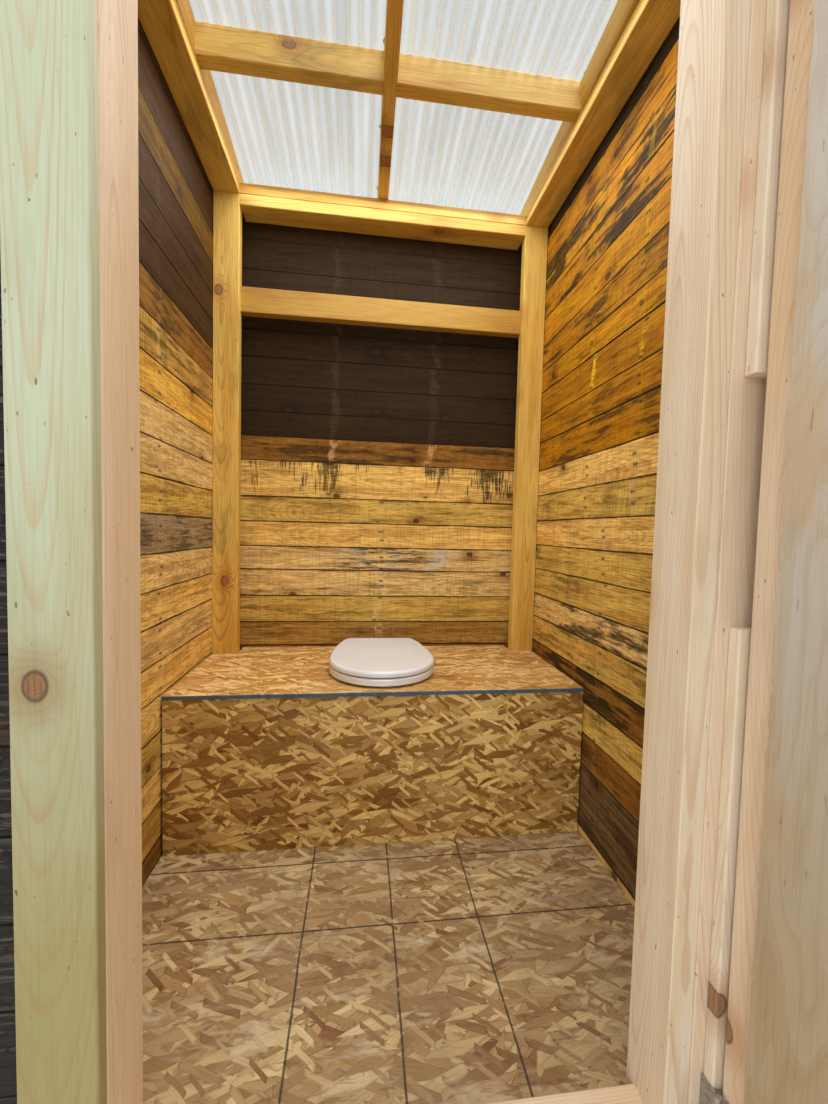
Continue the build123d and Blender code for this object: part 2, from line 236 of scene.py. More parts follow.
def islands(bm):
    """Groups of points that hang together."""
    left = set(bm.verts)
    groups = []
    for start in bm.verts:
        if start not in left:
            continue
        left.discard(start)
        group, queue = [start], [start]
        while queue:
            for edge in queue.pop().link_edges:
                for vert in edge.verts:
                    if vert in left:
                        left.discard(vert)
                        group.append(vert)
                        queue.append(vert)
        groups.append(group)
    return groups


def ease(bm, width, segments=2, shortest=0.004):
    """Rounds every sharp edge that is long enough."""
    bm.normal_update()
    corners = [e for e in bm.edges if len(e.link_faces) == 2 and e.calc_face_angle(0.0) > SHARP]
    sharp = [e for e in corners if e.calc_length() > shortest]
    bmesh.ops.bevel(
        bm,
        geom=sharp,
        offset=width,
        segments=segments,
        profile=0.5,
        affect="EDGES",
        material=-1,
        clamp_overlap=True,
    )


def lay_grain(bm, along, tones, wears, rng, bearers=((0.0, NOWHERE),)):
    """Writes place, size, number, colour, wear and bearer marks onto the points of each board."""
    layers = bm.verts.layers
    place = layers.float_vector.new("grain")
    span = layers.float_vector.new("span")
    number = layers.float_vector.new("number")
    tone = layers.float_color.new("tone")
    wear = layers.float_color.new("wear")
    marks = layers.float_vector.new("bearers")
    groups = islands(bm)
    for index, group in enumerate(groups):
        side = ACROSS if abs(along.dot(ACROSS)) < 0.5 else INWARD
        axes = (along, side, along.cross(side).normalized())
        middle, half = [], []
        for axis in axes:
            values = [v.co.dot(axis) for v in group]
            middle.append((max(values) + min(values)) / 2)
            half.append((max(values) - min(values)) / 2)
        order = (0, 1, 2) if half[1] >= half[2] else (0, 2, 1)
        chosen = Vector([rng.uniform(-NUMBER_REACH, NUMBER_REACH) for _ in range(3)])
        colour = tones[index % len(tones)]
        worn = wears[index % len(wears)]
        first, second = bearers[index % len(bearers)]
        slip = rng.uniform(-MARK_SLIP, MARK_SLIP)
        lines = Vector((first - middle[0] + slip, second - middle[0] + slip, slip * MARK_TWIST))
        for vert in group:
            vert[place] = Vector([vert.co.dot(axes[k]) - middle[k] for k in order])
            vert[span] = Vector([half[k] for k in order])
            vert[number] = chosen
            vert[tone] = Vector(colour)
            vert[wear] = Vector(worn)
            vert[marks] = lines
    return len(groups)


def piece(name, bm, body, nodes, materials):
    """Turns a bmesh into a piece of the object that stands for the named solids."""
    for face in bm.faces:
        longest = max(edge.calc_length() for edge in face.edges)
        face.smooth = face.calc_area() < ROUND_STRIP * longest
    mesh = bpy.data.meshes.new(name)
    bm.to_mesh(mesh)
    bm.free()
    for material in materials:
        mesh.materials.append(material)
    thing = bpy.data.objects.new(name, mesh)
    bpy.context.collection.objects.link(thing)
    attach(thing, body)
    if nodes:
        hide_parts(*nodes)
    made.append(thing)
    return thing


print("helpers ready")

# %% [markdown]
# ## New framing timber
#
# Fresh softwood is a pale cream with fine ring lines that run straight on a quarter-sawn
# face and in tall arches where the rings meet the face at a low angle. Knots push the
# rings aside. A flat wave texture would look the same on every board, so the rings here are
# distances from a line near the board: arches, straight runs and end grain all come from
# one sum. In every finish s, t and d are metres along, across and into the board from its
# middle, and a, b and c are the board's own number, which moves its pattern elsewhere.


# %% Rings and knots
def rings(finish, place, number, ring=0.0045, wander=0.07, pace=0.9):
    """Counts growth rings out from the heart of the tree, and measures to the nearest knot."""
    s, t, d = finish.split(place)
    a, b, c = finish.split(number)
    lean = finish.noise(finish.join(s * pace + a, b, c), 1.0, 1.0, 0.4).also("Color")
    lean_x, lean_y, _ = finish.split(lean)
    fine = finish.noise(finish.join(s * 6.0 + a, t * 24.0 + b, d * 24.0 + c), 1.0, 2.0)
    centre_t = t + (lean_x - 0.5) * wander * 0.7 + b.math("SINE") * 0.022
    drift = s * (c.math("SINE") * 0.03 + 0.045)
    centre_d = d + drift + (lean_y - 0.5) * wander + a.math("SINE") * 0.04
    square = centre_t * centre_t + centre_d * centre_d
    cell = {"Vector": finish.join(s * 0.75 + a, t + b, c), "Scale": 3.4}
    knot = finish.node("ShaderNodeTexVoronoi", {"voronoi_dimensions": "2D"}, cell) / 3.4
    knot = knot + (fine - 0.5) * 0.005
    push = finish.step(knot, 0.055, 0.004)
    radius = square.math("SQRT") + push * push * 0.018 + (fine - 0.5) * 0.003
    return radius / ring, knot, fine, (s, t, d, a, b, c)


print("rings lie", rings.__defaults__[0] * 1000.0, "mm apart in framing timber")

# %% Sawn softwood
def timber(name, ring_colour, aged, lower_shade=0.0):
    """Aged runs from 0 for fresh wood to 1 for handled wood; the last argument paints shade, darker and
    yellower, over the lower end.
    """
    finish = Finish(name)
    place = finish.attribute("grain")
    number = finish.attribute("number")
    tone = finish.attribute("tone", "Color")
    ring, knot, fine, (s, t, d, a, b, c) = rings(finish, place, number)
    saw = ring.math("FRACT")
    late = finish.step(saw, 0.5, 0.92) * finish.step(saw, 1.0, 0.95)
    strong = finish.noise(finish.join(ring * 0.5, a, b), 1.0, 1.0)
    patchy = finish.noise(finish.join(s * 1.3 + c, t * 12.0 + a, d * 12.0 + b), 1.0, 2.0)
    fibre = finish.noise(finish.join(s * 9.0 + a, t * 330.0 + b, d * 330.0 + c), 1.0, 2.0)
    line = late * (finish.step(strong, 0.35, 0.7) * (0.3 + aged * 0.24) + 0.07)
    colour = finish.mix(line, tone, ring_colour)
    fibrous = finish.step(fibre, 0.42, 0.66) * (0.16 + aged * 0.34)
    colour = finish.mix(fibrous, colour, tint(212, 182, 134), "MULTIPLY")
    patches = finish.step(patchy, 0.46, 0.62) * (0.3 + aged * 0.4)
    colour = finish.mix(patches, colour, tint(234, 208, 156), "MULTIPLY")
    core = finish.step(knot, 0.0125, 0.0095)
    rim = finish.step(knot, 0.0165, 0.0125) - core
    inner = (knot * 340.0 + fine * 2.0).math("FRACT")
    heart = finish.mix(inner, tint(184, 128, 80), tint(126, 78, 44))
    heart = finish.mix(finish.step(fibre, 0.5, 0.62) * 0.6, heart, tint(92, 56, 32))
    colour = finish.mix(finish.step(knot, 0.05, 0.014) * 0.5, colour, tint(214, 164, 116), "MULTIPLY")
    colour = finish.mix(core * 0.9, colour, heart)
    bark = rim.clamp() * finish.step(fine, 0.34, 0.5)
    colour = finish.mix(bark * 0.85, colour, tint(78, 44, 26))
    nicks = finish.noise(finish.join(s * 60.0 + b, t * 170.0 + c, d * 170.0), 1.0, 1.0)
    colour = finish.mix(finish.step(nicks, 0.76, 0.79) * 0.7, colour, tint(74, 54, 36))
    soil = finish.noise(finish.join(s * 3.0 + b, t * 9.0 + c, d * 9.0 + a), 1.0, 3.0, 0.65)
    soil_share = 0.1 + aged * 0.3
    colour = finish.mix(finish.step(soil, 0.55, 0.68) * soil_share, colour, tint(132, 108, 60))
    # Painted shade: the lower end is darkened and yellowed, with a ragged upper edge.
    if lower_shade:
        low = finish.step(s + (soil - 0.5) * 0.5, 0.1, -0.75)
        colour = finish.mix(low * lower_shade, colour, tint(196, 164, 84), "MULTIPLY")
    roughness = 0.6 + line * 0.15
    return finish.shade(colour, roughness, fibre, bump=0.25, depth=0.0003)


fresh = timber("fresh_timber", tint(196, 144, 94), 0.0)
handled = timber("handled_timber", tint(184, 132, 52), 1.0)
shade_foot = timber("lower_shaded_timber", tint(196, 144, 94), 0.0, 0.8)
print("finishes", fresh.name, handled.name, shade_foot.name)

# %% [markdown]
# ## Every stick of the frame
#
# Each length of timber is a solid of the frame. A copy of it gets eased edges, as planed
# stock has, and its grain is laid along its length: up for posts, across or inward for
# rails, and up the slope for rafters. Wood inside the room is given golden tones and more
# wear, and wood at the doorway pale tones.

# %% Dress the frame's timber
CREAM = tint(232, 218, 194)
PALE_CREAM = tint(190, 198, 168)
PINK_CREAM = tint(228, 206, 178)
GOLD = tint(232, 196, 98)
HONEY = tint(222, 180, 76)
DEEP_GOLD = tint(190, 150, 52)
CLEAN = (0.0, 0.0, 0.0, 0.0)
TIMBER_EASE, TIMBER_SHORTEST = 0.0028, 0.2
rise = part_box("front_roof_riser")[1].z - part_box("cross_top_plates")[1].z
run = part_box("back_posts")[0].y - FRONT_FACE
up_the_roof = Vector((0.0, -run, rise)).normalized()

timbers = [
    ("base_side_rims", "base", INWARD, HONEY, handled),
    ("base_cross_joists", "base", ACROSS, HONEY, handled),
    ("back_posts", "base", UP, GOLD, handled),
    ("back_corner_nailers", "base", UP, HONEY, handled),
    ("front_corner_posts", "base", UP, CREAM, fresh),
    ("right_door_post", "base", UP, CREAM, fresh),
    ("left_door_post", "base", UP, PINK_CREAM, fresh),
    ("hinge_stud", "base", UP, PINK_CREAM, fresh),
    ("front_studs", "base", UP, CREAM, fresh),
    ("door_sill", "base", ACROSS, PINK_CREAM, fresh),
    ("side_top_plates", "base", INWARD, GOLD, handled),
    ("cross_top_plates", "base", ACROSS, GOLD, handled),
    ("back_header", "base", ACROSS, GOLD, handled),
    ("front_roof_riser", "base", ACROSS, GOLD, handled),
    ("shelf_rail", "base", ACROSS, DEEP_GOLD, handled),
    ("rafters", "base", up_the_roof, GOLD, handled),
    ("rafter_blocking", "base", ACROSS, GOLD, handled),
    ("left_door_trim", "base", UP, PALE_CREAM, shade_foot),
    ("hinge_battens", "base", UP, CREAM, fresh),
    ("bench_cross_rails", "base", ACROSS, HONEY, handled),
    ("bench_side_rails", "base", INWARD, HONEY, handled),
    ("door_hinge_stile", "door", UP, PINK_CREAM, fresh),
    ("door_latch_stile", "door", UP, CREAM, fresh),
    ("door_rails", "door", INWARD, CREAM, fresh),
]
for node, body, along, tone, grade in timbers:
    bm = take(node)
    ease(bm, TIMBER_EASE, 2, shortest=TIMBER_SHORTEST)
    count = lay_grain(bm, along, [tone], [CLEAN], random.Random(node))
    piece(node + "_timber", bm, body, [node], [grade])
    print(node, "lengths", count)

# %% [markdown]
# ## Reclaimed boards
#
# The walls are old pallet boards. Each has its own brown, from orange to almost black,
# with dark stains, rows of old nail holes and pale bands where a bearer kept the weather
# off. One finish could be painted per board, but one that reads each board's own colour and
# amounts of wear serves them all.


# %% Old board finish
DULL = {"Specular IOR Level": 0.2}
# Multipliers above 1 lighten a board's own colour.
PALER = (1.35, 1.3, 1.2, 1.0)
CHALKY = (1.9, 2.2, 6.0, 1.0)
NAIL_HOLE, NAIL_HOLE_BORE = 0.0028, 0.0018


def old_boards(name):
    finish = Finish(name)
    place = finish.attribute("grain")
    number = finish.attribute("number")
    _, half_wide, _ = finish.split(finish.attribute("span"))
    tone = finish.attribute("tone", "Color")
    wear = finish.attribute("wear", "Color")
    stained, smudged, paled = finish.split(wear)
    chalked = wear.also("Alpha")
    first, second, twist = finish.split(finish.attribute("bearers"))
    ring, knot, fine, (s, t, d, a, b, c) = rings(finish, place, number, 0.007, 0.22, 1.4)
    edge = half_wide - t.math("ABSOLUTE")
    # Broad bands, the lines of the rings, fine fibres, and the marks of the saw across them.
    band = finish.noise(finish.join(s * 3.5 + a, t * 55.0 + b, d * 55.0 + c), 1.0, 3.0, 0.68)
    fibre = finish.noise(finish.join(s * 22.0 + a, t * 230.0 + b, d * 230.0 + c), 1.0, 2.0, 0.65)
    cloud = finish.noise(finish.join(s * 4.5 + c, t * 17.0 + a, b), 1.0, 4.0, 0.68)
    sawing = finish.noise(finish.join(s * 320.0 + c, t * 5.0 + a, b), 1.0, 1.0)
    late = finish.step(ring.math("FRACT"), 0.45, 0.95)
    colour = finish.mix(late * 0.26, tone, tint(156, 106, 46), "MULTIPLY")
    colour = finish.mix(finish.step(band, 0.46, 0.58) * 0.42, colour, tint(176, 130, 66), "MULTIPLY")
    colour = finish.mix(finish.step(fibre, 0.5, 0.62) * 0.42, colour, tint(140, 100, 50), "MULTIPLY")
    colour = finish.mix(finish.step(sawing, 0.52, 0.64) * 0.22, colour, tint(140, 104, 60), "MULTIPLY")
    colour = finish.mix(finish.step(cloud, 0.47, 0.38) * 0.5, colour, PALER, "MULTIPLY")
    # Stains lie in clouds drawn out along the board, with the grain showing through.
    stain = finish.step(cloud + stained * 0.17 + (band - 0.5) * 0.5, 0.62, 0.72) * stained
    colour = finish.mix((stain * (fibre + 0.4)).clamp(), colour, tint(44, 34, 10))
    # Smudges are narrow dark strokes across the board, in groups that start at its top edge.
    stroke = finish.noise(finish.join(s * 170.0 + b, t * 12.0 + c, a), 1.0, 1.0)
    group = finish.noise(finish.join(s * 7.0 + c, t * 2.0 + a, b), 1.0, 2.0)
    smudge = finish.step(stroke * 0.8 + group * 1.6 + t * 1.0, 1.3, 1.42) * smudged
    colour = finish.mix((smudge * (fibre + 0.3)).clamp(), colour, tint(34, 28, 18))
    # A chalky patch near the middle, grey at its rim and black where it was burnt.
    near = (s - 0.02).math("ABSOLUTE") + (cloud - 0.5) * 0.5
    chalk = finish.step(near, 0.3, 0.2) * chalked
    colour = finish.mix(chalk * finish.step(group + fibre * 0.8, 0.86, 1.0), colour, tint(214, 202, 176))
    burnt = finish.step(near, 0.2, 0.1) * chalked * finish.step(band + fibre * 0.7, 0.76, 0.92)
    colour = finish.mix(burnt * 0.85, colour, tint(36, 32, 28))
    # Where a bearer was nailed on, the wood is chalky in patches, with old nail holes.
    to_first = s - first + t * twist
    to_second = s - second + t * twist
    reach = to_first.math("ABSOLUTE").math("MINIMUM", to_second.math("ABSOLUTE"))
    ragged = finish.step(reach + (cloud - 0.5) * 0.05 + (stroke - 0.5) * 0.02, 0.016, 0.006)
    ragged = ragged * finish.step(fibre + group * 0.6, 0.7, 0.86)
    chalky = finish.mix(1.0, finish.mix(1.0, tone, CHALKY, "MULTIPLY"), tint(232, 204, 150), "DARKEN")
    colour = finish.mix((ragged * paled).clamp(), colour, chalky)
    beside = reach - 0.004 - (fine - 0.5) * 0.004
    above = t.math("ABSOLUTE") - half_wide * 0.55 + twist * 0.06
    hole = (beside * beside + above * above).math("SQRT")
    colour = finish.mix(finish.step(hole, 0.009, 0.001) * 0.55, colour, tint(70, 44, 18))
    colour = finish.mix(finish.step(hole, NAIL_HOLE, NAIL_HOLE_BORE), colour, tint(16, 11, 8))
    core = finish.step(knot, 0.012, 0.008)
    colour = finish.mix(finish.step(knot, 0.045, 0.012) * 0.45, colour, tint(150, 100, 50), "MULTIPLY")
    colour = finish.mix(core * 0.8, colour, tint(60, 38, 18))
    rim = finish.step(edge + (fine - 0.5) * 0.006 + (stroke - 0.5) * 0.003, 0.0034, 0.0012)
    colour = finish.mix(rim * 0.9, colour, tint(32, 22, 8))
    split = finish.step((band - 0.5).math("ABSOLUTE"), 0.005, 0.001) * finish.step(group, 0.5, 0.56)
    colour = finish.mix(split * 0.75, colour, tint(28, 20, 10))
    rough = 0.75 + (band - 0.5) * 0.15
    return finish.shade(colour, rough, band, bump=0.45, depth=0.0014, **DULL)


old = old_boards("reclaimed_boards")
print("finish", old.name)

# %% [markdown]
# ## Charred outside
#
# Boards are charred with a flame to keep the weather out. The soft wood burns away and
# leaves the hard lines of the grain standing, and the char is painted lighter on these ridges
# as a painted highlight. Thick char cracks into small cells. Here and there the flame passed
# too fast and brown is left.


# %% Charred board finish
def charred_boards(name):
    finish = Finish(name)
    place = finish.attribute("grain")
    number = finish.attribute("number")
    _, half_wide, _ = finish.split(finish.attribute("span"))
    tone = finish.attribute("tone", "Color")
    burnt, _, _ = finish.split(finish.attribute("wear", "Color"))
    s, t, d = finish.split(place)
    a, b, c = finish.split(number)
    edge = half_wide - t.math("ABSOLUTE")
    ridge = finish.noise(finish.join(s * 2.6 + a, t * 150.0 + b, d * 150.0 + c), 1.0, 3.0, 0.6)
    fibre = finish.noise(finish.join(s * 16.0 + a, t * 420.0 + b, d * 420.0 + c), 1.0, 2.0)
    cloud = finish.noise(finish.join(s * 3.0 + c, t * 10.0 + a, d * 10.0 + b), 1.0, 5.0, 0.65)
    crazed = {"Vector": finish.join(s * 26.0 + a, t * 80.0 + b, d * 80.0 + c), "Scale": 1.0}
    check = finish.node("ShaderNodeTexVoronoi", {"feature": "DISTANCE_TO_EDGE"}, crazed)
    check = finish.step(check, 0.07, 0.02)
    spared = finish.step(cloud + (ridge - 0.5) * 0.6 - burnt * 0.16, 0.44, 0.66)
    # Painted highlight: the char is a lighter grey on the grain's ridges.
    char = finish.mix(finish.step(ridge, 0.5, 0.66) * 0.8, tint(34, 30, 28), tint(92, 84, 72))
    brown = finish.mix(finish.step(ridge, 0.5, 0.62) * 0.7, tint(112, 80, 50), tint(54, 40, 28))
    brown = finish.mix(0.4, brown, tone, "MULTIPLY")
    colour = finish.mix(spared, char, brown)
    colour = finish.mix(finish.step(fibre, 0.52, 0.64) * 0.4, colour, tint(40, 32, 26))
    colour = finish.mix(check * (1.0 - spared) * 0.7, colour, tint(12, 11, 10))
    colour = finish.mix(finish.step(edge, 0.003, 0.001) * 0.8, colour, tint(14, 12, 10))
    height = ridge * 1.3 + fibre * 0.3 - check * 0.6
    rough = 0.7 + (ridge - 0.5) * 0.3
    return finish.shade(colour, rough, height, bump=0.6, depth=0.0016, **DULL)


charred = charred_boards("charred_boards")
print("finish", charred.name)

# %% [markdown]
# ## The rows
#
# No two boards match, so each row is listed one by one: how high its top edge lies over the
# floor, its colour, and how far it is stained, smudged, paled by bearers and chalked.

# %% Rows of boards, measured up from the floor
ORANGE = tint(244, 194, 84)
GOLDEN = tint(204, 144, 12)
AMBER = tint(190, 132, 12)
TAN = tint(214, 170, 82)
BROWN = tint(152, 108, 40)
OLIVE = tint(112, 82, 20)
UMBER = tint(54, 36, 8)
MOSS = tint(74, 48, 6)
BRIGHT = tint(255, 214, 120)
SAND = tint(225, 190, 96)
SMOKE = tint(188, 150, 76)
PALE = tint(242, 208, 134)
SLATE = tint(126, 102, 66)
ASH = tint(176, 154, 116)
DARK = tint(40, 32, 20)

back_rows = [
    (0.060, BROWN, 0.5, 0.0, 0.0), (0.160, BROWN, 0.4, 0.0, 0.0), (0.260, TAN, 0.3, 0.0, 0.0),
    (0.360, BROWN, 0.3, 0.0, 0.0), (0.459, BROWN, 0.2, 0.0, 0.3), (0.550, SMOKE, 0.4, 0.0, 0.9),
    (0.653, SAND, 0.4, 0.0, 0.9), (0.755, PALE, 0.5, 0.0, 1.0), (0.845, PALE, 0.4, 0.3, 0.2, 1.0),
    (0.940, BRIGHT, 0.1, 0.0, 0.3), (1.035, SAND, 0.4, 0.1, 1.0), (1.172, BRIGHT, 0.3, 1.0, 0.0),
    (1.263, BROWN, 0.7, 0.2, 0.8), (1.356, UMBER, 0.5, 0.0, 0.7), (1.455, UMBER, 0.4, 0.2, 0.8),
    (1.558, UMBER, 0.5, 0.0, 0.8), (1.657, UMBER, 0.3, 0.0, 0.7), (1.755, UMBER, 0.6, 0.0, 0.7),
    (1.875, UMBER, 0.5, 0.0, 0.4), (1.985, UMBER, 0.4, 0.1, 0.5), (2.500, UMBER, 0.6, 0.0, 0.3),
]
left_rows = [
    (0.060, BROWN, 0.5, 0.0, 0.0), (0.160, TAN, 0.4, 0.0, 0.2), (0.255, BRIGHT, 0.2, 0.0, 0.2),
    (0.355, SAND, 0.3, 0.0, 0.3), (0.455, BRIGHT, 0.3, 0.0, 0.2), (0.550, BRIGHT, 0.2, 0.0, 0.3),
    (0.651, PALE, 0.3, 0.1, 0.4), (0.744, BRIGHT, 0.3, 0.0, 0.4), (0.840, PALE, 0.2, 0.0, 0.4),
    (0.944, ASH, 0.7, 0.0, 0.2), (1.042, SAND, 0.3, 0.1, 0.4), (1.139, PALE, 0.3, 0.0, 0.4),
    (1.239, PALE, 0.1, 0.0, 0.3), (1.338, ORANGE, 0.2, 0.0, 0.3), (1.438, TAN, 0.6, 0.4, 0.3),
    (1.540, BROWN, 0.7, 0.2, 0.2), (1.636, MOSS, 0.4, 0.0, 0.3), (1.728, MOSS, 0.5, 0.0, 0.2),
    (1.830, MOSS, 0.4, 0.0, 0.3), (1.930, OLIVE, 0.3, 0.0, 0.2), (2.060, MOSS, 0.5, 0.0, 0.2),
    (2.160, MOSS, 0.5, 0.0, 0.2), (2.500, MOSS, 0.5, 0.0, 0.2),
]
right_rows = [
    (0.022, PALE, 0.1, 0.0, 0.0), (0.215, SLATE, 0.6, 0.0, 0.0), (0.312, BROWN, 0.5, 0.1, 0.2),
    (0.405, SAND, 0.5, 0.0, 0.2), (0.500, BROWN, 1.0, 0.2, 0.1), (0.596, SAND, 0.6, 0.1, 0.2),
    (0.684, PALE, 0.9, 0.1, 0.2), (0.782, SAND, 0.4, 0.3, 0.2), (0.874, SAND, 0.5, 0.2, 0.3),
    (0.967, BRIGHT, 0.2, 0.0, 0.5), (1.065, SAND, 0.4, 0.3, 0.3), (1.162, BRIGHT, 0.1, 0.0, 0.3),
    (1.269, AMBER, 0.7, 0.2, 0.1), (1.355, AMBER, 0.5, 0.0, 0.2), (1.461, AMBER, 0.3, 0.2, 1.0),
    (1.541, GOLDEN, 0.5, 0.1, 0.2), (1.638, AMBER, 0.8, 0.2, 0.2), (1.740, GOLDEN, 0.2, 0.0, 0.2),
    (1.840, AMBER, 1.0, 0.5, 0.2), (1.940, GOLDEN, 1.0, 0.4, 0.2), (2.040, AMBER, 0.7, 0.1, 0.1),
    # A thin near-black row lies just under the right wall's top.
    (2.080, DARK, 1.0, 0.0, 0.0), (2.160, OLIVE, 0.5, 0.0, 0.2), (2.500, OLIVE, 0.5, 0.0, 0.2),
]
front_tones = (BROWN, TAN, AMBER, SMOKE)
FIRST_ROW, ROW_PITCH, ROW_COUNT = 0.04, 0.104, 24
front_rows = [
    (FIRST_ROW + ROW_PITCH * k, front_tones[k % 4], max(0.1, 1.3 - k * 0.06), 0.0, 0.3)
    for k in range(ROW_COUNT)
]
print("rows", len(back_rows), len(left_rows), len(right_rows), len(front_rows))


# %% [markdown]
# ## Cutting a wall
#
# Boards could be boxes set side by side, but a wall has a sloping top and ends that meet
# its neighbours. So its own solid is cut at each row, as a sawn stack would be, and each
# piece gets eased edges, which draw the dark line between two boards. The face to the room
# is bare old wood, and all the others are charred.

# %% Cut the walls into boards
# Half of the gap between two boards, and the thinnest strip worth cutting, in metres.
SEAM, THINNEST_ROW = 0.00005, 0.004
DEEPEST_SET_BACK = 0.0016
LEAST_EASE, MOST_EASE = 0.0010, 0.0018
# Over this height above the floor the bearers lay in other places.
LOW_MARKS_END = 1.04
# A face whose normal agrees this far with the direction of the room is its bare side.
FACES_THE_ROOM = 0.3


def cut_at(bm, height, keep_above):
    """Keeps what is above or below a level and closes the cut."""
    bmesh.ops.bisect_plane(
        bm,
        geom=bm.verts[:] + bm.edges[:] + bm.faces[:],
        dist=1e-6,
        plane_co=(0.0, 0.0, height),
        plane_no=(0.0, 0.0, 1.0),
        clear_inner=keep_above,
        clear_outer=not keep_above,
    )
    rim = [e for e in bm.edges if e.is_boundary]
    if rim:
        bmesh.ops.edgeloop_fill(bm, edges=rim)


def board_wall(name, node, body, rows, along, inner, low_marks, high_marks):
    """Cuts a wall's solid into rows; inner is the direction that faces the room."""
    rng = random.Random(name)
    lowest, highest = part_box(node)
    wall = bmesh.new()
    tones, wears, marks = [], [], []
    bottom = lowest.z
    for top, colour, *worn in rows:
        top = min(top + FLOOR_TOP, highest.z + 0.001)
        if top - bottom < THINNEST_ROW:
            continue
        row = take(node)
        if bottom > lowest.z:
            cut_at(row, bottom + SEAM, True)
        if top < highest.z:
            cut_at(row, top - SEAM, False)
        if not row.faces:
            row.free()
            break
        # A board here and there lies a little back from its neighbours.
        set_back = rng.uniform(0.0, DEEPEST_SET_BACK)
        for vert in row.verts:
            if (vert.co - (lowest + highest) / 2).dot(inner) > 0:
                vert.co -= inner * set_back
        ease(row, rng.uniform(LEAST_EASE, MOST_EASE), 1)
        scratch = bpy.data.meshes.new("scratch")
        row.to_mesh(scratch)
        row.free()
        wall.from_mesh(scratch)
        bpy.data.meshes.remove(scratch)
        tones.append(colour)
        wears.append(tuple(worn) + (0.0,) * (4 - len(worn)))
        marks.append(low_marks if top < FLOOR_TOP + LOW_MARKS_END else high_marks)
        bottom = top
        if top >= highest.z:
            break
    wall.normal_update()
    for face in wall.faces:
        face.material_index = 0 if face.normal.dot(inner) > FACES_THE_ROOM else 1
    count = lay_grain(wall, along, tones, wears, rng, marks)
    piece(name, wall, body, [node], [old, charred])
    print(name, "boards", count, "faces", len(made[-1].data.polygons))


# The last two values of each wall are where its bearers lay, low down and higher up.
ENDS = (-0.25, 0.25)
board_wall("back_boards", "back_wall", "base", back_rows, ACROSS, -INWARD, (0.0, NOWHERE), (-0.187, 0.196))
board_wall("left_boards", "left_wall", "base", left_rows, INWARD, ACROSS, (0.1, NOWHERE), (0.1, NOWHERE))
board_wall("right_boards", "right_wall", "base", right_rows, INWARD, -ACROSS, (0.03, NOWHERE), (0.14, -0.1))
for name, node, body, along, inner in (
    ("front_left_boards", "front_left_wall", "base", ACROSS, INWARD),
    ("front_right_boards", "front_right_wall", "base", ACROSS, INWARD),
    ("over_door_boards", "over_door_wall", "base", ACROSS, INWARD),
    ("door_boards", "door_outer_boards", "door", INWARD, -ACROSS),
):
    board_wall(name, node, body, front_rows, along, inner, ENDS, ENDS)

# %% [markdown]
# ## Strand board
#
# Strand board is pressed from long flakes that lie every way. Four sheets of stretched
# cells, each turned to its own angle, stand for four layers of flakes. A cell's own random
# number says whether its flake is on top there or the layer below shows, so flakes overlap.


# %% Strand board finish
# Each layer's angle in degrees, the pitch of its flakes along and across in metres, how far
# a flake reaches within its cell, and whether its ends are square or pointed.
FLAKES = (
    (4.0, 0.150, 0.030, 0.40, "CHEBYCHEV"),
    (-33.0, 0.200, 0.044, 0.46, "MANHATTAN"),
    (34.0, 0.140, 0.026, 0.36, "CHEBYCHEV"),
    (-9.0, 0.220, 0.046, 0.46, "MANHATTAN"),
    (21.0, 0.150, 0.026, 0.34, "CHEBYCHEV"),
    (52.0, 0.170, 0.040, 0.34, "MANHATTAN"),
    (-24.0, 0.140, 0.024, 0.33, "CHEBYCHEV"),
    (12.0, 0.190, 0.036, 0.42, "MANHATTAN"),
    (-41.0, 0.130, 0.022, 0.24, "CHEBYCHEV"),
)
# Only the flakes of the last layers stand up from the board.
RAISED_FROM = 6
# Where the printed guide lines lie, in x for those that run inward and in y for the others.
LINES_INWARD = (-0.191, 0.013, 0.217)
LINES_ACROSS = (0.035, -0.170)
LINE_HALF = 0.0026


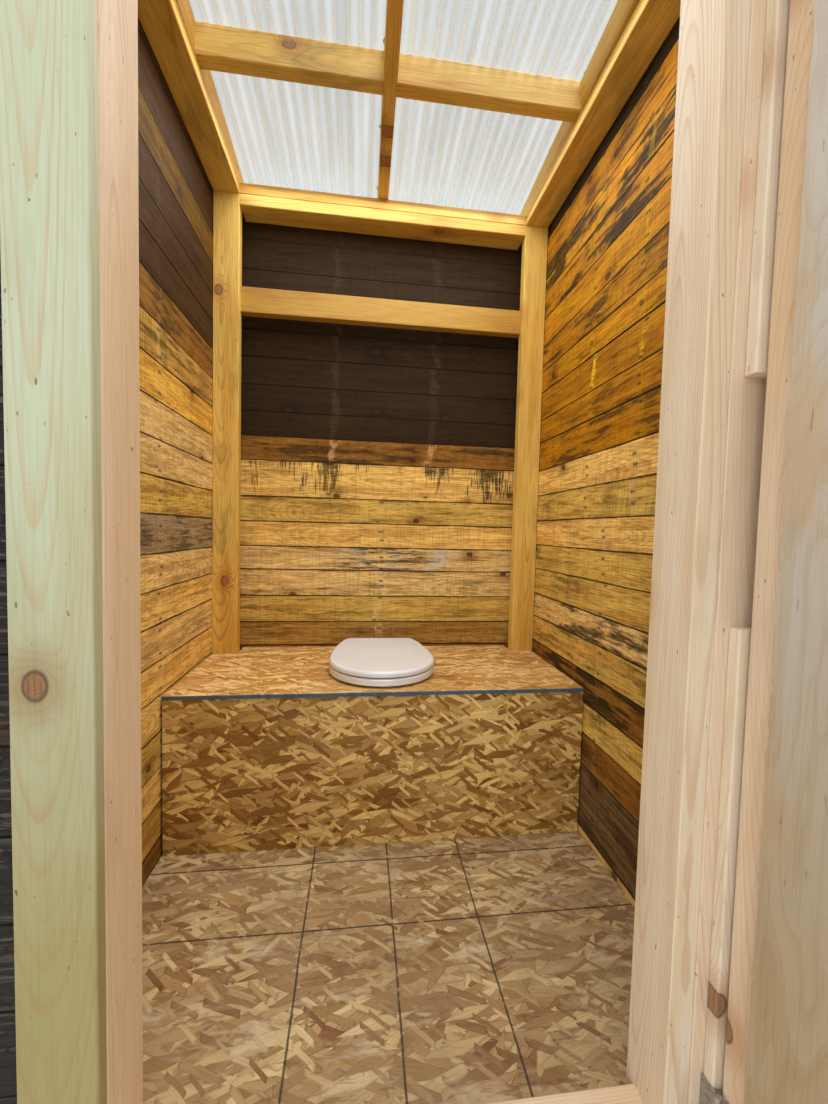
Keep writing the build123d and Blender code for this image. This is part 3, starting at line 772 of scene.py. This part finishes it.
def strand_board(name, base, light, dark, dirt=0.0, guide_lines=False, painted_edge=None):
    finish = Finish(name)
    s, t, d = finish.split(finish.attribute("grain"))
    a, b, c = finish.split(finish.attribute("number"))
    bend = finish.noise(finish.join(s + a, t + b, d + c), 7.0, 1.0)
    fray = finish.noise(finish.join(s + b, t + c, d + a), 45.0, 1.0)
    colour = base
    fibre_at = finish.join(s * 9.0, t * 320.0, c)
    height = 0.0
    for layer, (angle, long, wide, reach, metric) in enumerate(FLAKES):
        cosine, sine = math.cos(math.radians(angle)), math.sin(math.radians(angle))
        along = s * cosine + t * sine
        across = t * cosine - s * sine + (bend - 0.5) * 0.016 + (fray - 0.5) * 0.003
        slanted = along + across * 0.7 + (fray - 0.5) * 0.008
        spot = finish.join(slanted / long + a + layer * 7.3, across / wide + b, 0.0)
        cells = {"distance": metric, "voronoi_dimensions": "2D"}
        sizes = {"Vector": spot, "Scale": 1.0, "Randomness": 0.85}
        middle = finish.node("ShaderNodeTexVoronoi", cells, sizes)
        size, shade_of, reddish = finish.split(middle.also("Color"))
        outward = middle + size * 0.12
        shows = finish.step(outward, reach + 0.01, reach - 0.005)
        # Painted shade: each flake darkens along its border as a thin shadow line.
        flake_edge_shade = finish.step(outward, reach - 0.055, reach)
        fibre_at = finish.mix(shows, fibre_at, finish.join(along * 9.0 + a, across * 320.0 + b, layer * 3.1))
        flake = finish.mix(finish.step(shade_of, 0.05, 0.95), dark, light)
        flake = finish.mix(finish.step(reddish, 0.8, 0.86) * 0.5, flake, tint(176, 112, 58), "MULTIPLY")
        flake = finish.mix(flake_edge_shade * 0.4, flake, tint(120, 78, 38), "MULTIPLY")
        colour = finish.mix(shows, colour, flake)
        # Relief from the uppermost flakes alone keeps the sum short.
        if layer >= RAISED_FROM:
            height = shows * (shade_of * 0.5 + 0.6) + (1.0 - shows) * height
    lines = finish.noise(fibre_at, 1.0, 2.0)
    colour = finish.mix(finish.step(lines, 0.42, 0.66) * 0.3, colour, tint(186, 134, 78), "MULTIPLY")
    gap = finish.noise(finish.join(s + b, t + c, a), 60.0, 2.0)
    colour = finish.mix(finish.step(gap, 0.7, 0.76) * 0.5, colour, tint(70, 48, 26))
    cloud = finish.noise(finish.join(s + c, t + a, b), 3.2, 4.0, 0.6)
    colour = finish.mix(finish.step(cloud, 0.4, 0.75) * 0.3, colour, tint(170, 128, 80), "MULTIPLY")
    if dirt:
        grime = finish.noise(finish.join(s + a, t + c, b), 4.5, 4.0, 0.7)
        colour = finish.mix(finish.step(grime, 0.34, 0.64) * dirt, colour, tint(156, 132, 96))
        scuffs = finish.noise(finish.join(s * 5.0 + b, t * 16.0 + a, c), 1.0, 4.0, 0.72)
        colour = finish.mix(finish.step(scuffs, 0.55, 0.66) * dirt, colour, tint(206, 188, 158))
        scrapes = finish.noise(finish.join(s * 9.0 + a, t * 70.0 + c, b), 1.0, 3.0, 0.7)
        colour = finish.mix(finish.step(scrapes, 0.6, 0.66) * dirt, colour, tint(112, 76, 46))
        dust = finish.noise(finish.join(s + b, t + a, c), 26.0, 3.0, 0.7)
        colour = finish.mix(finish.step(dust, 0.6, 0.72) * dirt * 0.5, colour, tint(196, 178, 148))
        specks = finish.noise(finish.join(s + b, t + a, c), 190.0, 1.0, 0.5)
        colour = finish.mix(finish.step(specks, 0.7, 0.75) * dirt, colour, tint(58, 44, 32))
    if guide_lines:
        spot = finish.node("ShaderNodeTexCoord", {}, {}, "Object")
        x, y, _ = finish.split(spot)
        worn = finish.noise(spot, 50.0, 2.0)
        wobble = (finish.noise(spot, 7.0, 1.0) - 0.5) * 0.004
        near = 1.0
        for line in LINES_INWARD:
            near = (x - line + wobble).math("ABSOLUTE").math("MINIMUM", near)
        for line in LINES_ACROSS:
            near = (y - line + wobble).math("ABSOLUTE").math("MINIMUM", near)
        ink = finish.step(near, LINE_HALF, LINE_HALF - 0.001) * finish.step(worn, 0.26, 0.4)
        colour = finish.mix(ink * 0.85, colour, tint(34, 28, 24))
    if painted_edge is not None:
        spot = finish.node("ShaderNodeTexCoord", {}, {}, "Object")
        _, y, _ = finish.split(spot)
        ragged = finish.noise(spot, 45.0, 3.0)
        paint = finish.step(y + (ragged - 0.5) * 0.003, painted_edge + 0.0022, painted_edge + 0.0008)
        colour = finish.mix(paint * 0.92, colour, tint(28, 92, 122))
    roughness = 0.6 + (gap - 0.5) * 0.2
    return finish.shade(colour, roughness, height, bump=0.3, depth=0.0006)


# %% [markdown]
# ## Three sheets
#
# The floor is trodden grey, the bench top is clean with a painted front edge, and the
# bench's front panel is deep gold. The same flakes serve all three, in other colours.

# %% Floor, bench top and bench front
floor_colours = (tint(176, 142, 90), tint(218, 196, 146), tint(146, 110, 64))
floor_board = strand_board("floor_strand_board", *floor_colours, dirt=0.5, guide_lines=True)
seat_colours = (tint(214, 166, 84), tint(244, 212, 144), tint(194, 144, 66))
bench_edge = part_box("bench_top")[0].y
seat_board = strand_board("bench_strand_board", *seat_colours, painted_edge=bench_edge)
panel_colours = (tint(200, 154, 66), tint(255, 222, 140), tint(156, 110, 38))
panel_board = strand_board("panel_strand_board", *panel_colours)
sheets = [
    ("floor_panel", ACROSS, floor_board),
    ("bench_top", ACROSS, seat_board),
    ("bench_front", ACROSS, panel_board),
]
for node, along, material in sheets:
    bm = take(node)
    ease(bm, 0.0008, 1)
    lay_grain(bm, along, [CREAM], [CLEAN], random.Random(node))
    piece(node + "_sheet", bm, "base", [node], [material])
    print(node, "faces", len(made[-1].data.polygons))

# %% [markdown]
# ## The door's inner skin
#
# Rotary-cut veneer is peeled from a turning log, so its figure is not lines but wide
# wandering contours. Its saw-cut edge has torn splinters.


# %% Plywood
def plywood(name):
    finish = Finish(name)
    place = finish.attribute("grain")
    number = finish.attribute("number")
    s, t, d = finish.split(place)
    a, b, c = finish.split(number)
    field = finish.noise(finish.join(s * 1.1 + a, t * 5.0 + b, c), 1.0, 2.5, 0.5)
    contour = (field * 22.0).math("FRACT")
    line = finish.step(contour, 0.55, 0.97) * finish.step(contour, 1.0, 0.98)
    wide = (field * 5.0).math("FRACT")
    fibre = finish.noise(finish.join(s * 10.0 + a, t * 420.0 + b, d * 300.0), 1.0, 2.0)
    colour = finish.mix(wide, tint(200, 196, 186), tint(196, 187, 170))
    colour = finish.mix(line * 0.22, colour, tint(172, 146, 112))
    colour = finish.mix(finish.step(fibre, 0.45, 0.8) * 0.22, colour, tint(170, 140, 104), "MULTIPLY")
    blotch = finish.noise(finish.join(s * 1.6 + c, t * 3.0 + a, b), 1.0, 4.0, 0.6)
    colour = finish.mix(finish.step(blotch, 0.54, 0.66) * 0.45, colour, tint(204, 168, 116))
    # The lower end is darker and yellower.
    colour = finish.mix(finish.step(s, 0.1, -0.8) * 0.7, colour, tint(220, 192, 132), "MULTIPLY")
    cell = {"Vector": finish.join(s * 0.55 + a, t + b, c), "Scale": 3.6}
    knot = finish.node("ShaderNodeTexVoronoi", {}, cell)
    colour = finish.mix(finish.step(knot, 0.045, 0.03) * 0.75, colour, tint(92, 66, 44))
    specks = finish.noise(finish.join(s * 30.0 + a, t * 160.0 + b, c), 1.0, 1.0)
    colour = finish.mix(finish.step(specks, 0.74, 0.8) * 0.5, colour, tint(112, 92, 70))
    return finish.shade(colour, 0.6 + (fibre - 0.5) * 0.1, fibre, bump=0.25, depth=0.0004)


skin_board = plywood("plywood_skin")
print("finish", skin_board.name)

# %% Splinter the skin's edge
EDGE_CUTS = 180
COMMON_TEAR, DEEP_TEAR, DEEP_SHARE = 0.0012, 0.002, 0.06
bm = take("door_inner_skin")
upright = [e for e in bm.edges if abs((e.verts[0].co - e.verts[1].co).normalized().z) > 0.9]
bmesh.ops.subdivide_edges(bm, edges=upright, cuts=EDGE_CUTS, use_grid_fill=True)
skin_low, skin_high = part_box("door_inner_skin")
rng = random.Random("splinters")
for vert in bm.verts:
    if vert.co.y > skin_high.y - 1e-4 and skin_low.z + 1e-3 < vert.co.z < skin_high.z - 1e-3:
        vert.co.y -= abs(rng.gauss(0.0, COMMON_TEAR)) + (DEEP_TEAR if rng.random() < DEEP_SHARE else 0.0)
lay_grain(bm, UP, [CREAM], [CLEAN], rng)
piece("door_skin", bm, "door", ["door_inner_skin"], [skin_board])
print("door skin faces", len(made[-1].data.polygons))

# %% [markdown]
# ## Clear roof, plastic seat and metal
#
# These keep the frame's own shapes. The corrugated sheet is mostly see-through with a
# blue-grey body, streaks of dust, and painted highlight lines along its crests and valleys.
# The seat is a glossy white plastic.


# %% Clear sheet
RIB = 0.068


def clear_sheet(name):
    finish = Finish(name)
    spot = finish.node("ShaderNodeTexCoord", {}, {}, "Object")
    x, y, _ = finish.split(spot)
    dust = finish.noise(finish.join(x * 24.0, y * 1.8, 3.0), 1.0, 1.0, 0.6)
    # Painted highlight: pale, less clear lines along every crest and valley.
    rib_highlight = (x * (math.tau / RIB)).math("COSINE").math("ABSOLUTE")
    rib_highlight = rib_highlight * rib_highlight * rib_highlight
    colour = finish.mix(rib_highlight, tint(150, 190, 206), tint(226, 232, 228))
    alpha = rib_highlight * 0.22 + dust * 0.28 + 0.06
    return finish.shade(colour, 0.16, None, Alpha=alpha, IOR=1.45)


clear = clear_sheet("clear_sheet")
print("finish", clear.name)

# %% Plastic and zinc
def moulded(name, colour, roughness, coat):
    finish = Finish(name)
    spot = finish.node("ShaderNodeTexCoord", {}, {}, "Object")
    fine = finish.noise(spot, 900.0, 2.0)
    wide = finish.noise(spot, 14.0, 4.0, 0.6)
    mixed = finish.mix(finish.step(wide, 0.45, 0.75) * 0.2, colour, tint(214, 210, 200))
    rough = roughness + (wide - 0.5) * 0.12
    return finish.shade(mixed, rough, fine, bump=0.04, depth=0.0003, **{"Coat Weight": coat})


def plated(name):
    finish = Finish(name)
    spot = finish.node("ShaderNodeTexCoord", {}, {}, "Object")
    spangle = finish.node("ShaderNodeTexVoronoi", {}, {"Vector": spot, "Scale": 260.0}, "Color")
    red, _, _ = finish.split(spangle)
    scuff = finish.noise(spot, 90.0, 4.0)
    colour = finish.mix(red, tint(150, 148, 142), tint(186, 184, 178))
    colour = finish.mix(finish.step(scuff, 0.58, 0.72) * 0.5, colour, tint(104, 92, 78))
    return finish.shade(colour, 0.34 + scuff * 0.2, scuff, bump=0.1, depth=0.0003, Metallic=0.9)


white = moulded("white_plastic", tint(238, 242, 248), 0.22, 0.4)
soft = moulded("pale_rubber", tint(196, 194, 188), 0.7, 0.0)
zinc = plated("zinc_steel")
for node, material in (
    ("roof_sheet", clear),
    ("seat_ring", white),
    ("seat_lid", white),
    ("seat_hinge_posts", white),
    ("seat_bumpers", soft),
    ("hinge_fixed_leaves", zinc),
    ("hinge_door_leaves", zinc),
):
    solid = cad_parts[node]
    solid.data.materials.clear()
    solid.data.materials.append(material)
    print(node, "finish", material.name)

# %% [markdown]
# ## Screws
#
# A corrugated sheet is screwed down over its rafters, through a crest where one lies over
# the wood, with a hexagon head on a washer. The hinge leaves have small domed screws. Each
# head could be a turned profile, but a low cone with a dished top is enough at this size.


# %% A screw head
DISH_RING, DISH_DEPTH = 0.35, 0.25


def add_head(bm, place, outward, radius, sides, high, dome):
    """A low round or hexagonal head that stands on a surface at place; dome narrows its top."""
    turn = outward.to_track_quat("Z", "Y").to_matrix().to_4x4()
    seat = Matrix.Translation(place) @ turn
    lift = seat @ Matrix.Translation((0.0, 0.0, high / 2))
    sizes = {"segments": sides, "radius1": radius, "radius2": radius * dome, "depth": high}
    head = bmesh.ops.create_cone(bm, cap_ends=True, cap_tris=False, matrix=lift, **sizes)
    caps = [f for f in bm.faces if f.verts[0] in head["verts"] and len(f.verts) == sides]
    top = [f for f in caps if f.normal.dot(outward) > 0.9]
    bmesh.ops.inset_region(bm, faces=top, thickness=radius * dome * DISH_RING, depth=0.0)
    dish = list({v for f in top for v in f.verts})
    bmesh.ops.translate(bm, verts=dish, vec=outward * -high * DISH_DEPTH)


print("a dish takes", DISH_DEPTH, "of a head's height")


# %% Roofing screws
FIRST_SCREW, SCREW_PITCH, SCREWS_A_ROW = 0.15, 0.235, 6
WASHER_SEAT, WASHER_RADIUS, WASHER_SIDES, WASHER_HIGH, WASHER_DOME = -0.0012, 0.009, 20, 0.0022, 0.9
HEAD_SEAT, HEAD_RADIUS, HEAD_SIDES, HEAD_HIGH, HEAD_DOME = 0.0010, 0.0048, 6, 0.0042, 0.92
roof_points = [v.co.copy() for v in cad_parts["roof_sheet"].data.vertices]
front_edge = min(p.y for p in roof_points)
edge_points = [p for p in roof_points if p.y < front_edge + 0.004]
roof_normal = Vector((0.0, rise, run)).normalized()
# The outer rafters lie under crests. Only a valley lies over the middle one.
screw_rows = (-RIB * 8, -RIB / 2, RIB * 8)
roof_screws = bmesh.new()
for x in screw_rows:
    top = max(p.z for p in edge_points if abs(p.x - x) < 0.002)
    for step in range(SCREWS_A_ROW):
        y = front_edge + FIRST_SCREW + step * SCREW_PITCH
        place = Vector((x, y, top - (y - front_edge) * rise / run))
        washer_at = place + roof_normal * WASHER_SEAT
        add_head(roof_screws, washer_at, roof_normal, WASHER_RADIUS, WASHER_SIDES, WASHER_HIGH, WASHER_DOME)
        head_at = place + roof_normal * HEAD_SEAT
        add_head(roof_screws, head_at, roof_normal, HEAD_RADIUS, HEAD_SIDES, HEAD_HIGH, HEAD_DOME)
piece("roof_screws", roof_screws, "base", [], [zinc])
print("roof screws", len(made[-1].data.polygons), "faces, edge points", len(edge_points))

# %% Hinge screws
LEAF_HIGH = 0.090
LEAF_SCREW_HEIGHTS = (0.013, 0.045, 0.077)
SCREW_RADIUS, SCREW_SIDES, SCREW_HIGH, SCREW_DOME = 0.0034, 14, 0.0010, 0.6
# For each kind of leaf: the x of its open face and the y of its outer and inner screws.
for name, node, body, leaf_x, across in (
    ("fixed_leaf_screws", "hinge_fixed_leaves", "base", 0.4275, (-0.6180, -0.6100)),
    ("door_leaf_screws", "hinge_door_leaves", "door", 0.4370, (-0.6560, -0.6440)),
):
    screws = bmesh.new()
    lowest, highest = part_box(node)
    for foot in (lowest.z, highest.z - LEAF_HIGH):
        for k, height in enumerate(LEAF_SCREW_HEIGHTS):
            place = Vector((leaf_x, across[k % 2], foot + height))
            add_head(screws, place, -ACROSS, SCREW_RADIUS, SCREW_SIDES, SCREW_HIGH, SCREW_DOME)
    piece(name, screws, body, [], [zinc])
    print(name, len(made[-1].data.polygons))

# %% [markdown]
# ## Studio
#
# The room inside is lit from the open doorway and through the clear roof, so one broad
# lamp stands left of the camera, one hangs over the roof, and two more light the outside.
# Little of their light gets through the sheet, so a weak lamp under it helps, which the
# camera doesn't see. The background's white is only for the rays of the camera, of gloss
# and of clear sheets.


# %% Floor
STAGE_HALF = 14.0
stage_mesh = bmesh.new()
bmesh.ops.create_grid(stage_mesh, x_segments=2, y_segments=2, size=STAGE_HALF)
ground = bpy.data.meshes.new("ground")
stage_mesh.to_mesh(ground)
stage_mesh.free()
ground_finish = Finish("ground")
ground.materials.append(ground_finish.shade(tint(228, 227, 223), 0.9))
ground_piece = bpy.data.objects.new("ground", ground)
bpy.context.collection.objects.link(ground_piece)
print("floor", 2 * STAGE_HALF, "m wide")


# %% Lamps
def lamp(name, place, target, size, power, colour=(1.0, 1.0, 1.0)):
    data = bpy.data.lights.new(name, "AREA")
    data.size = size
    data.energy = power
    data.color = colour
    thing = bpy.data.objects.new(name, data)
    aim = (Vector(target) - Vector(place)).to_track_quat("-Z", "Y")
    thing.matrix_world = Matrix.Translation(place) @ aim.to_matrix().to_4x4()
    bpy.context.collection.objects.link(thing)
    return thing


lamp("in_front", (-4.6, -7.0, 3.6), (0.0, 0.3, 1.1), 4.5, 140.0)
lamp("over_roof", (1.0, -0.9, 5.4), (0.0, 0.1, 1.2), 2.6, 240.0, (1.0, 0.98, 0.95))
lamp("left_side", (-5.2, 2.6, 3.2), (0.0, 0.0, 1.2), 3.4, 110.0)
lamp("right_side", (5.2, 2.6, 3.4), (0.0, 0.0, 1.2), 3.4, 110.0)
under_roof = lamp("under_roof", (0.0, 0.0, 2.215), (0.0, 0.0, 0.0), 1.0, 9.5)
under_roof.visible_camera = False
print("lamps", len(bpy.data.lights))

# %% World
AMBIENT = 0.82
world = bpy.data.worlds.new("world")
bpy.context.scene.world = world
world.use_nodes = True
tree = world.node_tree
tree.nodes.clear()
path = tree.nodes.new("ShaderNodeLightPath")
ambient = tree.nodes.new("ShaderNodeBackground")
ambient.inputs["Color"].default_value = (0.95, 0.97, 1.0, 1.0)
ambient.inputs["Strength"].default_value = AMBIENT
seen = tree.nodes.new("ShaderNodeBackground")
seen.inputs["Color"].default_value = (1.0, 1.0, 1.0, 1.0)
seen.inputs["Strength"].default_value = 1.0
blend = tree.nodes.new("ShaderNodeMixShader")
world_end = tree.nodes.new("ShaderNodeOutputWorld")
shown = path.outputs["Is Camera Ray"]
for kind in ("Is Glossy Ray", "Is Transmission Ray"):
    either = tree.nodes.new("ShaderNodeMath")
    either.operation = "MAXIMUM"
    tree.links.new(shown, either.inputs[0])
    tree.links.new(path.outputs[kind], either.inputs[1])
    shown = either.outputs[0]
tree.links.new(shown, blend.inputs[0])
tree.links.new(ambient.outputs[0], blend.inputs[1])
tree.links.new(seen.outputs[0], blend.inputs[2])
tree.links.new(blend.outputs[0], world_end.inputs["Surface"])
bpy.context.scene.view_settings.view_transform = "Standard"
# A long render stops working on a pixel once its noise is this small.
bpy.context.scene.cycles.adaptive_threshold = 0.1
print("pieces", len(made))
